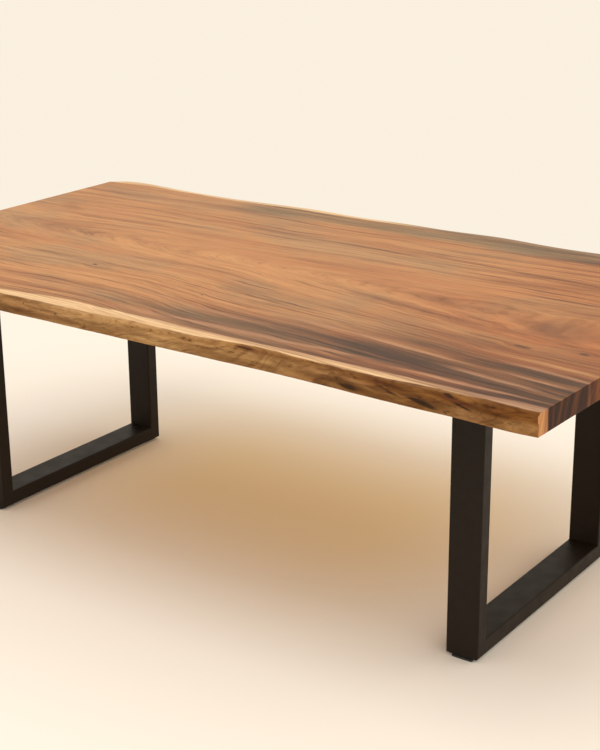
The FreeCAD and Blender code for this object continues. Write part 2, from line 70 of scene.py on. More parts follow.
CAMERA_PLACE = Vector((2.3085, -3.1531, 1.8049))
CAMERA_AZIMUTH = 35.45  # degrees from +Y towards -X
CAMERA_DIP = 19.10  # degrees below the horizon
CAMERA_ROLL = -0.46  # degrees
LENS = 74.7  # millimetres
SENSOR = 36  # the sensor's long side, in millimetres
SIGHT = 200  # how far the camera sees


def make_camera():
    azimuth, dip, roll = (math.radians(a) for a in (CAMERA_AZIMUTH, CAMERA_DIP, CAMERA_ROLL))
    flat = math.cos(dip)
    forward = Vector((-math.sin(azimuth) * flat, math.cos(azimuth) * flat, -math.sin(dip)))
    right = forward.cross(Vector((0, 0, 1))).normalized()
    up = right.cross(forward)
    rolled_right = right * math.cos(roll) + up * math.sin(roll)
    rolled_up = up * math.cos(roll) - right * math.sin(roll)
    data = bpy.data.cameras.new("camera")
    data.sensor_fit = "AUTO"
    data.sensor_width = SENSOR
    data.lens = LENS
    data.clip_end = SIGHT
    camera = add_object("camera", data)
    turn = Matrix((rolled_right, rolled_up, -forward)).transposed().to_4x4()
    camera.matrix_world = Matrix.Translation(CAMERA_PLACE) @ turn
    bpy.context.scene.camera = camera


# ---- node helpers ----

class Tree:
    """A material's or a world's node tree, with short ways to add to it."""

    def __init__(self, owner):
        owner.use_nodes = True
        self.owner = owner
        self.tree = owner.node_tree
        self.tree.nodes.clear()

    def add(self, kind, inputs=None, **settings):
        node = self.tree.nodes.new("ShaderNode" + kind)
        for name, value in settings.items():
            setattr(node, name, value)
        for name, value in (inputs or {}).items():
            self.set(node.inputs[name], value)
        return node

    def set(self, socket, value):
        if isinstance(value, bpy.types.NodeSocket):
            self.tree.links.new(value, socket)
        elif hasattr(value, "__len__") and len(value) == 3 and len(socket.default_value) == 4:
            socket.default_value = (*value, 1)
        else:
            socket.default_value = value

    def math(self, operation, first, second=0.0, third=0.0, clamp=False):
        node = self.add("Math", {0: first, 1: second, 2: third},
                        operation=operation, use_clamp=clamp)
        return node.outputs[0]

    def times(self, first, second, clamp=False):
        return self.math("MULTIPLY", first, second, clamp=clamp)

    def scaled(self, value, factor, offset):
        return self.math("MULTIPLY_ADD", value, factor, offset)

    def mix(self, share, first, second, blend="MIX"):
        """One colour over another, by a share from 0 to 1."""
        node = self.add("Mix", {0: share, 6: first, 7: second},
                        data_type="RGBA", blend_type=blend)
        return node.outputs[2]

    def step(self, value, low, high):
        """0 below low and 1 above high, or the other way round where low is the larger."""
        flipped = low > high
        limits = (high, low) if flipped else (low, high)
        ends = (1.0, 0.0) if flipped else (0.0, 1.0)
        node = self.add("MapRange", {"Value": value, "From Min": limits[0],
                                     "From Max": limits[1], "To Min": ends[0],
                                     "To Max": ends[1]},
                        interpolation_type="SMOOTHSTEP", clamp=False)
        return node.outputs[0]

    def vector(self, x, y, z):
        return self.add("CombineXYZ", {0: x, 1: y, 2: z}).outputs[0]

    def noise(self, vector, scale=1.0, detail=2.0, roughness=0.5):
        node = self.add("TexNoise", {"Vector": vector, "Scale": scale, "Detail": detail,
                                     "Roughness": roughness})
        return node.outputs[0]

    def attribute(self, name):
        return self.add("Attribute", attribute_name=name).outputs["Fac"]

    def spread(self, value, width):
        """A noise from 0 to 1, centred on zero and as wide as given."""
        return self.scaled(value, width, -width / 2)

    def bump(self, height, distance, strength=1.0, normal=None):
        node = self.add("Bump", {"Height": height, "Distance": distance,
                                 "Strength": strength})
        if normal is not None:
            self.set(node.inputs["Normal"], normal)
        return node.outputs[0]

    def surface(self, shader):
        kind = "OutputWorld" if isinstance(self.owner, bpy.types.World) else "OutputMaterial"
        output = self.add(kind)
        self.set(output.inputs["Surface"], shader)

    def principled(self, colour, roughness, normal, specular=0.5, metallic=0.0):
        """The owner, with one shader of these inputs as its surface."""
        shader = self.add("BsdfPrincipled", {"Base Color": colour, "Roughness": roughness,
                                             "Normal": normal, "Metallic": metallic,
                                             "Specular IOR Level": specular})
        self.surface(shader.outputs[0])
        return self.owner


def new_material(name):
    return Tree(bpy.data.materials.new(name))


def dress(node_name, material):
    """Give a CAD node a material of this script's."""
    slots = nodes[node_name].data.materials
    slots.clear()
    slots.append(material)


# ---- the slab's shape ----

LONG_STEPS = 1200  # columns along a live edge
CROSS_STEPS = 44  # columns across a sawn end
HALF_RING = LONG_STEPS + CROSS_STEPS  # points from a corner of the slab to the opposite one
SAFE_X, SAFE_Y = 0.95, 0.5  # inside the slab, past every hole and groove
EDGE_Y = 0.58  # about how far out the live edges lie
LOW_CLEAR, TOP_CLEAR = 0.0001, 0.00002  # rays stay this far inside the slab's two faces
END_CLEAR = 0.0002  # and this share of its length inside its ends
POCKET_ROOM = 0.01  # no hole or groove comes closer to the top than this
END_EASE = 0.0012  # radius of the eased edges of the sawn ends
FOOT_EASE = 0.0015  # radius of the eased lower edge
ROLL = 0.008  # height of the top edge's roll, where the rows lie closer together
SIDE_ROWS = 22
ROLL_ROWS = 8
EASE_ROWS = 3
SKIN_DEPTH, RIPPLE_DEPTH, RIDGE_DEPTH = 0.0016, 0.0013, 0.0005  # of a live edge's dents
SKIN_FADE = 0.012  # the dents fade out over this height below the top
BARK_REACH = 33  # the bark's line is evened out over this many columns to each side
TOP_PART, LIVE_PART, SAWN_PART = 0, 1, 2  # the slab's materials: top, live edges, the rest


def smooth(value, low, high):
    share = min(max((value - low) / (high - low), 0.0), 1.0)
    return share * share * (3 - 2 * share)


class Slab:
    """Answers where the CAD slab's outer faces lie."""

    def __init__(self):
        mesh = nodes["tabletop_slab"].data
        points = [vertex.co.copy() for vertex in mesh.vertices]
        self.tree = BVHTree.FromPolygons(points, [tuple(p.vertices) for p in mesh.polygons])
        self.left = self.end_line(-1)
        self.right = self.end_line(1)

    def end_line(self, side):
        """A sawn end in plan: its x at y 0, and how much x grows with y."""
        found = []
        for y in (-SAFE_Y, SAFE_Y):
            start = Vector((side * SAFE_X, y, (TOP + UNDERSIDE) / 2))
            found.append(self.tree.ray_cast(start, Vector((side, 0, 0)))[0].x)
        slope = (found[1] - found[0]) / (2 * SAFE_Y)
        return (found[0] + found[1]) / 2, slope

    def x(self, along, y, ease):
        """The place along the slab, 0 at the left end and 1 at the right, as an x."""
        low = self.left[0] + self.left[1] * y + ease
        high = self.right[0] + self.right[1] * y - ease
        return low + along * (high - low)

    def y(self, along, z, side):
        """The CAD's live edge at that place and height."""
        clear = min(max(z, UNDERSIDE + LOW_CLEAR), TOP - TOP_CLEAR)
        inner = min(max(along, END_CLEAR), 1 - END_CLEAR)
        x = self.x(inner, side * EDGE_Y, 0)
        hit = self.tree.ray_cast(Vector((x, side * SAFE_Y, clear)), Vector((0, side, 0)))
        return hit[0].y


def row_heights():
    """Heights of the rings up the slab's side."""
    rows = []
    for step in range(EASE_ROWS):
        turn = math.radians(90 * step / EASE_ROWS)
        rows.append(UNDERSIDE + FOOT_EASE * (1 - math.sin(math.pi / 2 - turn)))
    for step in range(SIDE_ROWS):
        low, high = UNDERSIDE + FOOT_EASE, TOP - ROLL
        rows.append(low + (high - low) * step / SIDE_ROWS)
    for step in range(ROLL_ROWS + 1):
        turn = math.radians(90 * step / ROLL_ROWS)
        rows.append(TOP - ROLL * (1 - math.sin(turn)))
    return rows


def end_inset(z):
    """How far a sawn end draws in at a height, for its eased edges."""
    reach = max(UNDERSIDE + END_EASE - z, z - (TOP - END_EASE), 0.0)
    return END_EASE - math.sqrt(max(END_EASE ** 2 - reach ** 2, 0.0))


def foot_inset(z):
    reach = max(UNDERSIDE + FOOT_EASE - z, 0.0)
    return FOOT_EASE - math.sqrt(max(FOOT_EASE ** 2 - reach ** 2, 0.0))


def live_dent(x, z, side):
    """How far a live edge's skin lies inside the CAD's smooth one, or outside it below 0."""
    ripple = noise.fractal(Vector((x * 9, z * 34, side * 7.3)), 1.0, 2.1, 4)
    ridge = noise.fractal(Vector((x * 34, z * 90, side * 3.1)), 0.9, 2.2, 3)
    fade = smooth(TOP - z, 0.0, SKIN_FADE)
    dent = fade * (SKIN_DEPTH + RIPPLE_DEPTH * ripple + RIDGE_DEPTH * ridge)
    if side < 0:
        flare = float(np.interp(x, *zip(*NEAR_FLARE))) * smooth(z, FLARE_TOP, UNDERSIDE)
        dent += fade * side_hollows(x, z) - flare
    return dent


def side_hollows(x, z):
    """The depth of the near side's named hollows."""
    depth = 0.0
    for _, middle, height, long, wide, *_, deepest in SIDE_MARKS:
        if deepest and abs(x - middle) < long:
            reach = ((x - middle) / long) ** 2 + ((z - height) / wide) ** 2
            depth += deepest * max(1 - reach, 0.0)
    return depth


def ring_points(slab, z):
    """One closed ring round the slab: near edge, right end, far edge, left end."""
    ease, foot = end_inset(z), foot_inset(z)
    edges = {}
    for side in (-1, 1):
        edge = []
        for step in range(LONG_STEPS + 1):
            along = step / LONG_STEPS
            y = slab.y(along, z, side)
            dent = live_dent(slab.x(along, y, 0), z, side) + foot
            y -= side * dent
            edge.append(Vector((slab.x(along, y, ease), y, z)))
        edges[side] = edge
    ring = edges[-1][:-1]
    ring += across(slab, edges[-1][-1], edges[1][-1], 1, ease)[:-1]
    ring += edges[1][:0:-1]
    ring += across(slab, edges[1][0], edges[-1][0], 0, ease)[:-1]
    return ring


def across(slab, start, end, along, ease):
    points = []
    for step in range(CROSS_STEPS + 1):
        y = start.y + (end.y - start.y) * step / CROSS_STEPS
        points.append(Vector((slab.x(along, y, ease), y, start.z)))
    return points


def hidden_pockets():
    """The walls and floors of the CAD slab's holes and grooves, as loose triangles."""
    mesh = nodes["tabletop_slab"].data
    faces = []
    for polygon in mesh.polygons:
        corners = [mesh.vertices[index].co for index in polygon.vertices]
        inside = all(abs(c.y) < SAFE_Y and c.z < TOP - POCKET_ROOM for c in corners)
        if inside and max(c.z for c in corners) > UNDERSIDE + LEVEL:
            faces.append([tuple(round(v, 6) for v in c) for c in corners])
    return faces


def make_slab_mesh():
    slab = Slab()
    heights = row_heights()
    rings = [ring_points(slab, z) for z in heights]
    count = len(rings[0])
    points = [tuple(point) for ring in rings for point in ring]
    faces = []
    parts = []  # the index of each face's material
    for row in range(len(rings) - 1):
        low, high = row * count, (row + 1) * count
        for step in range(count):
            following = (step + 1) % count
            faces.append((low + step, low + following, high + following, high + step))
            parts.append(LIVE_PART if step % HALF_RING < LONG_STEPS else SAWN_PART)
    faces += top_faces(points, (len(rings) - 1) * count)
    parts += [TOP_PART] * (len(faces) - len(parts))
    faces += underside_faces(points, count)
    parts += [SAWN_PART] * (len(faces) - len(parts))
    mesh = bpy.data.meshes.new("live_edge_slab")
    mesh.from_pydata(points, [], faces)
    mesh.polygons.foreach_set("material_index", parts)
    mesh.validate()
    return mesh


def top_faces(points, first):
    """A grid over the top, between the top ring's near and far edges."""
    near = [first + step for step in range(LONG_STEPS + 1)]
    right = [first + LONG_STEPS + step for step in range(CROSS_STEPS + 1)]
    far_start = first + HALF_RING
    far = [far_start + LONG_STEPS - step for step in range(LONG_STEPS + 1)]
    ring_end = first + 2 * HALF_RING
    left = [first] + [ring_end - step for step in range(1, CROSS_STEPS + 1)]
    grid = [near]
    for row in range(1, CROSS_STEPS):
        share = row / CROSS_STEPS
        line = [left[row]]
        for step in range(1, LONG_STEPS):
            start, end = Vector(points[near[step]]), Vector(points[far[step]])
            points.append(tuple(start.lerp(end, share)))
            line.append(len(points) - 1)
        line.append(right[row])
        grid.append(line)
    grid.append(far)
    faces = []
    for low, high in zip(grid, grid[1:]):
        for step in range(LONG_STEPS):
            faces.append((low[step], low[step + 1], high[step + 1], high[step]))
    return faces


def underside_faces(points, count):
    """The flat underside round the mouths of the pockets, and the pockets' own faces."""
    known, faces, mouth = {}, [], {}
    for corners in hidden_pockets():
        face = []
        for corner in corners:
            if corner not in known:
                known[corner] = len(points)
                points.append(corner)
            face.append(known[corner])
        faces.append(tuple(face))
    for face in faces:
        for start, end in zip(face, face[1:] + face[:1]):
            if all(abs(points[i][2] - UNDERSIDE) < LEVEL for i in (start, end)):
                key = frozenset((start, end))
                mouth[key] = mouth.get(key, 0) + 1
    mouth = [tuple(key) for key, uses in mouth.items() if uses == 1]
    used = list(range(count)) + sorted({index for edge in mouth for index in edge})
    place = {index: number for number, index in enumerate(used)}
    edges = [(step, (step + 1) % count) for step in range(count)]
    edges += [(place[start], place[end]) for start, end in mouth]
    flat = [Vector(points[index][:2]) for index in used]
    result = delaunay_2d_cdt(flat, edges, [], 0, 1e-7, True)
    vertices, triangles, sources = result[0], result[2], result[3]
    names = []
    for vertex, source in zip(vertices, sources):
        if source:
            names.append(used[source[0]])
        else:
            points.append((vertex.x, vertex.y, UNDERSIDE))
            names.append(len(points) - 1)
    # the triangles fill the outline's hollows and the pockets' mouths too
    middles = np.array([sum((vertices[corner] for corner in t), Vector((0, 0))) / 3
                        for t in triangles])
    starts, ends = (np.array([flat[edge[end]] for edge in edges]) for end in (0, 1))
    wood = inside_loops(middles, starts, ends)
    faces += [tuple(names[corner] for corner in reversed(t))
              for t, kept in zip(triangles, wood) if kept]
    return faces


def inside_loops(places, starts, ends):
    """Which places lie inside an odd number of the closed loops that the edges make."""
    x, y = places[:, :1], places[:, 1:]
    (x0, y0), (x1, y1) = starts.T, ends.T
    passes = (y0 > y) != (y1 > y)
    turn = (x - x0) * (y1 - y0) - (y - y0) * (x1 - x0)
    crossings = passes & ((turn < 0) == (y1 > y0))
    return crossings.sum(axis=1) % 2 == 1


# ---- wood ----

# Where the heartwood ends on the top, as (x, y) in metres, from left to right.
NEAR_HEARTWOOD = (
    (-1.10, -0.556), (-0.46, -0.552), (-0.38, -0.545), (-0.30, -0.533), (-0.22, -0.531),
    (-0.05, -0.537), (0.07, -0.541), (0.20, -0.544), (0.30, -0.548), (0.40, -0.552),
    (0.60, -0.556), (0.80, -0.563), (0.90, -0.565), (1.00, -0.561), (1.10, -0.567),
)
FAR_HEARTWOOD = (
    (-1.10, 0.548), (-0.93, 0.570), (-0.80, 0.558), (-0.56, 0.552), (-0.34, 0.566),
    (-0.12, 0.560), (0.08, 0.564), (0.27, 0.570), (0.46, 0.560), (0.66, 0.552),
    (0.90, 0.576), (1.10, 0.570),
)
# How far the near side's skin comes over the top's edge, as (x, reach) in metres.
NEAR_SKIN = (
    (-1.10, 0.000), (-0.42, 0.001), (-0.30, 0.007), (-0.10, 0.012), (0.00, 0.017),
    (0.10, 0.013), (0.20, 0.008), (0.35, 0.001), (0.60, 0.000), (0.70, 0.010), (0.82, 0.016),
    (0.90, 0.004), (1.10, 0.004),
)
# How far the near side's lower edge stands out past the CAD's, or in below 0, as (x, reach).
NEAR_FLARE = (
    (-1.10, 0.000), (-0.60, 0.003), (-0.38, 0.003), (-0.30, -0.001), (-0.12, -0.003),
    (0.00, -0.001), (0.14, 0.003), (0.26, 0.0035), (0.33, 0.001), (0.40, 0.000),
    (0.50, 0.0035), (0.62, 0.0035), (0.70, 0.001), (0.84, 0.001), (0.96, 0.004),
    (1.10, 0.004),
)
FLARE_TOP = 0.738  # the flare starts at this height and grows down to the underside
PITH_DEPTH = 0.13  # the tree's heart lies this far below the middle of the top
PITH_RISE = 0.05  # and comes up towards the right by this much in each metre
PITH_LEVEL = 0.20  # until about this x, and runs level from there
ASPECTS = (1, 1.6, 2.5, 4, 6.3, 10, 16, 25, 36)  # a mark takes the nearest ratio of its sizes
TURN_STEP = 4  # and the nearest multiple of this as its turn, in degrees
CALM = (0.00, 0.04, 0.78, 0.24, 0)  # the heartwood's evenest part, as a knot is given below

GOLDEN = (0.590, 0.276, 0.100)
TAN = (0.515, 0.232, 0.084)
RUST = (0.44, 0.160, 0.052)
CREAM = (0.85, 0.575, 0.305)
STRAW = (0.70, 0.425, 0.195)
DULL_STRAW = (0.44, 0.280, 0.140)
ROSY_STRAW = (0.40, 0.215, 0.120)
UMBER = (0.085, 0.040, 0.020)
# The browns of the live edges' skin, dark and light, where dull and where sunny.
DULL_SKIN = ((0.250, 0.118, 0.042), (0.450, 0.235, 0.088))
SUNNY_SKIN = ((0.400, 0.222, 0.086), (0.600, 0.352, 0.146))

# These multiply the colour under them.
ASHEN = (0.84, 0.96, 1.12)  # greyer patches of the heartwood
RIGHT_HEART = (0.93, 0.78, 0.64)  # the heartwood towards the right end
INNER_SAP = (0.74, 0.66, 0.66)  # the sapwood's innermost rings
# painted shade low on the live edges' skin
PAINTED_LOWER_SHADE = (0.52, 0.44, 0.32)
UPPER_SKIN = (0.62, 0.50, 0.34)
LAST_SKIN = (0.74, 0.66, 0.56)  # the skin at the right end
LAYER = (0.62, 0.55, 0.50)  # the darker ones of the layers that show in the skin
PIT = (0.42, 0.32, 0.24)
STREAK = (0.48, 0.38, 0.33)
FIBRE = (0.45, 0.38, 0.34)
SOAKED_SAP, SOAKED_HEART = (1.15, 0.95, 0.66), (0.38, 0.27, 0.18)  # on the sawn ends

# What each kind of mark does to the heartwood, in the order in which they lie over it.
STAINS = {
    "haze": ("MULTIPLY", (0.58, 0.50, 0.50)),
    "olive": ("MULTIPLY", (0.52, 0.66, 0.80)),
    "grey": ("MULTIPLY", (0.30, 0.34, 0.38)),
    "pink": ("MIX", (0.470, 0.235, 0.118)),
    "gold": ("MIX", (0.600, 0.300, 0.112)),
    "dark": ("MULTIPLY", (0.30, 0.24, 0.24)),
}
# Stain, x and y of its middle, half its length and width, its turn in degrees, its strength.
TOP_MARKS = (
    ("haze", 0.90, -0.090, 0.16, 0.065, -8, 0.70),
    ("haze", 0.42, -0.108, 0.22, 0.028, -8, 0.60),
    ("haze", 0.50, 0.030, 0.16, 0.022, 0, 0.45),
    ("haze", 0.78, 0.105, 0.26, 0.035, -4, 0.75),
    ("haze", -0.50, 0.012, 0.09, 0.035, -28, 0.60),
    ("haze", -0.93, 0.215, 0.12, 0.040, -28, 0.55),
    ("haze", -0.95, 0.440, 0.22, 0.130, 0, 0.35),
    ("haze", -0.12, 0.294, 0.50, 0.020, 0, 0.70),
    ("haze", -0.33, 0.230, 0.25, 0.014, 0, 0.50),
    ("haze", 0.55, 0.390, 0.60, 0.080, 0, 0.55),
    ("haze", 0.97, -0.222, 0.12, 0.040, -5, 0.95),
    ("haze", -0.42, -0.240, 0.12, 0.045, -10, 0.45),
    ("olive", -0.16, -0.463, 0.22, 0.034, 0, 0.90),
    ("olive", 0.05, -0.463, 0.16, 0.028, 0, 0.80),
    ("olive", 0.72, -0.350, 0.22, 0.040, -8, 0.90),
    ("olive", 0.92, -0.395, 0.20, 0.030, -8, 0.80),
    ("grey", 0.67, -0.345, 0.20, 0.030, -8, 0.40),
    ("grey", 0.42, 0.525, 0.30, 0.030, 0, 0.40),
    ("pink", 0.28, -0.501, 0.50, 0.015, 0, 2.0),
    ("pink", 0.86, -0.531, 0.32, 0.012, -4, 2.0),
    ("pink", 0.50, -0.373, 0.40, 0.012, -8, 1.8),
    ("pink", 0.89, -0.470, 0.22, 0.012, -8, 1.8),
    ("pink", 0.96, -0.430, 0.17, 0.009, -8, 1.2),
    ("pink", 0.98, -0.372, 0.20, 0.012, -8, 1.8),
    ("pink", 0.10, -0.410, 0.36, 0.014, -8, 0.80),
    ("pink", -0.33, -0.442, 0.24, 0.010, -4, 0.80),
    ("gold", 0.96, -0.330, 0.24, 0.018, -8, 1.00),
    ("gold", 0.40, -0.284, 0.32, 0.012, -4, 0.95),
    ("gold", 0.64, -0.215, 0.08, 0.022, -8, 0.70),
    ("gold", 0.78, 0.008, 0.09, 0.030, 0, 0.70),
    ("dark", 0.62, -0.147, 0.24, 0.012, -8, 0.75),
    ("dark", 0.84, -0.173, 0.26, 0.010, -6, 0.70),
    ("dark", 0.57, -0.299, 0.14, 0.008, -8, 0.65),
    ("dark", 0.77, -0.262, 0.14, 0.008, -14, 0.65),
    ("dark", 0.12, -0.236, 0.20, 0.008, -12, 0.50),
    ("dark", -0.14, -0.321, 0.06, 0.006, -14, 0.60),
    ("dark", -0.20, -0.356, 0.14, 0.007, -8, 0.50),
    ("dark", -0.45, -0.429, 0.20, 0.007, 0, 0.60),
    ("dark", -0.26, -0.067, 0.24, 0.018, -12, 0.50),
    ("dark", 0.50, 0.300, 0.46, 0.016, -4, 0.85),
    ("dark", 0.12, 0.292, 0.30, 0.012, 0, 0.60),
    ("dark", 0.78, 0.274, 0.20, 0.012, -4, 0.80),
    ("dark", -0.56, 0.271, 0.20, 0.012, 0, 0.55),
    ("dark", 0.31, 0.233, 0.22, 0.010, -4, 0.65),
    ("dark", 0.48, 0.226, 0.22, 0.010, -4, 0.60),
    ("dark", 0.71, 0.124, 0.24, 0.010, 0, 0.65),
    ("dark", 0.66, 0.170, 0.14, 0.007, -4, 0.55),
    ("dark", 0.02, 0.425, 0.30, 0.010, 0, 0.45),
    ("dark", 0.62, 0.440, 0.26, 0.010, -4, 0.45),
    ("dark", -0.50, 0.147, 0.20, 0.009, 4, 0.35),
)
# Knots in the top: x, y, half length, half width, turn in degrees.
KNOTS = (
    (-0.415, -0.251, 0.016, 0.010, -25),
    (-0.004, -0.316, 0.009, 0.005, -30),
    (0.836, -0.246, 0.032, 0.010, -5),
    (0.970, -0.222, 0.019, 0.014, 0),
)
NEAR_ENDS = 1.0  # a mark that reaches farther out than this can show on a sawn end
TOP_SHINE, SIDE_SHINE = 0.22, 0.10  # specular levels
SLAB_SHARP = 40  # degrees

# The stains of the weathered near side, with the painted shade of its hollows and darker spots,
# which lie over its brown ground.
SIDE_STAINS_AND_PAINTED_SHADING = {
    "pale": ("MIX", (0.560, 0.340, 0.145)),
    # painted shade, in the near side's hollows and darker spots
    "shade": ("MULTIPLY", (0.48, 0.40, 0.34)),
    "red": ("MIX", (0.150, 0.050, 0.020)),
    "black": ("MIX", (0.050, 0.024, 0.011)),
}
# Stain or painted shade, x and z of its middle, half its length and height, turn, strength,
# hollow's depth.
SIDE_MARKS = (
    # partly paler wood, partly painted light against the shade low on the side
    ("pale", 0.07, 0.716, 0.16, 0.014, -2, 0.9, 0.0),
    ("pale", -0.12, 0.736, 0.14, 0.009, 0, 0.6, 0.0),
    ("pale", 0.38, 0.724, 0.08, 0.010, -4, 0.6, 0.0),
    ("pale", 1.00, 0.714, 0.08, 0.014, 4, 0.3, 0.0),
    ("shade", -0.26, 0.733, 0.07, 0.008, 0, 0.9, 0.0008),
    ("shade", 0.20, 0.729, 0.09, 0.009, 0, 0.8, 0.0008),
    ("shade", 0.50, 0.718, 0.07, 0.014, 0, 0.7, 0.0008),
    ("shade", -0.38, 0.712, 0.16, 0.014, 2, 1.3, 0.001),
    ("shade", -0.20, 0.716, 0.08, 0.010, 0, 1.0, 0.001),
    ("shade", -0.05, 0.731, 0.05, 0.007, 0, 0.5, 0.0),
    ("shade", 0.25, 0.730, 0.08, 0.005, 5, 0.6, 0.0),
    ("shade", 0.40, 0.742, 0.10, 0.010, -4, 0.6, 0.0),
    ("shade", 0.61, 0.714, 0.08, 0.014, -3, 1.2, 0.0025),
    ("shade", 0.72, 0.740, 0.09, 0.012, -4, 1.2, 0.0012),
    ("shade", 0.79, 0.722, 0.08, 0.016, -8, 1.1, 0.002),
    ("shade", 0.86, 0.740, 0.12, 0.012, -6, 1.3, 0.0015),
    ("shade", 0.95, 0.731, 0.10, 0.009, -4, 1.1, 0.0015),
    ("red", 0.335, 0.742, 0.045, 0.008, -3, 2.0, 0.0015),
    ("red", 0.685, 0.742, 0.014, 0.008, 0, 2.0, 0.001),
    ("red", 0.875, 0.736, 0.05, 0.006, -10, 1.4, 0.001),
    ("black", 0.325, 0.744, 0.024, 0.004, -4, 1.8, 0.001),
    ("black", 0.60, 0.712, 0.045, 0.009, -6, 2.4, 0.003),
    ("black", 0.705, 0.728, 0.040, 0.004, -14, 1.8, 0.0015),
    ("black", 0.79, 0.716, 0.050, 0.008, -12, 2.2, 0.002),
    ("black", 0.89, 0.727, 0.045, 0.004, -12, 1.8, 0.0012),
    ("black", 0.855, 0.746, 0.022, 0.005, -14, 1.8, 0.001),
    ("black", 0.845, 0.706, 0.010, 0.002, -30, 1.2, 0.0),
    ("black", 0.872, 0.707, 0.008, 0.002, -20, 1.2, 0.0),
    ("black", 0.521, 0.748, 0.028, 0.0018, -2, 1.2, 0.0),
    ("black", 0.454, 0.731, 0.006, 0.003, 0, 1.1, 0.0),
    ("black", 0.575, 0.722, 0.003, 0.003, 0, 1.4, 0.0),
    ("black", -0.343, 0.738, 0.0035, 0.0035, 0, 1.5, 0.0),
    ("black", -0.237, 0.730, 0.004, 0.003, 0, 1.3, 0.0),
    ("black", -0.198, 0.724, 0.013, 0.0015, -15, 1.2, 0.0),
    ("black", -0.146, 0.716, 0.004, 0.003, 0, 1.2, 0.0),
    ("black", -0.43, 0.703, 0.05, 0.004, 0, 1.0, 0.001),
)


def smooth_line(values, reach):
    """A line of values with its waves shorter than the reach, in steps, taken out."""
    padded = np.pad(values, reach, mode="edge")
    return np.convolve(padded, np.full(2 * reach + 1, 1 / (2 * reach + 1)), "valid")


def shape_attributes(mesh):
    """Values that the wood's nodes read: depths under the sapwood's and the bark's bounds."""
    place = np.empty(len(mesh.vertices) * 3)
    mesh.vertices.foreach_get("co", place)
    x, y = place.reshape(-1, 3)[:, :2].T
    middle = (EASE_ROWS + SIDE_ROWS // 2) * 2 * HALF_RING
    far_start = middle + HALF_RING
    near_edge = slice(middle, middle + LONG_STEPS)
    far_edge = slice(far_start, far_start + LONG_STEPS)
    near_bark = np.interp(x, x[near_edge], smooth_line(y[near_edge], BARK_REACH))
    far_bark = np.interp(-x, -x[far_edge], smooth_line(y[far_edge], BARK_REACH))
    rim = (EASE_ROWS + SIDE_ROWS + ROLL_ROWS) * 2 * HALF_RING
    near_rim = np.interp(x, x[rim:rim + LONG_STEPS], y[rim:rim + LONG_STEPS])
    values = {"near_depth": y - np.interp(x, *zip(*NEAR_HEARTWOOD)),
              "far_depth": np.interp(x, *zip(*FAR_HEARTWOOD)) - y,
              "bark_depth": np.minimum(y - near_bark, far_bark - y),
              "skin_depth": y - near_rim - np.interp(x, *zip(*NEAR_SKIN))}
    for name, value in values.items():
        attribute = mesh.attributes.new(name, "FLOAT", "POINT")
        attribute.data.foreach_set("value", value.astype(np.float32))


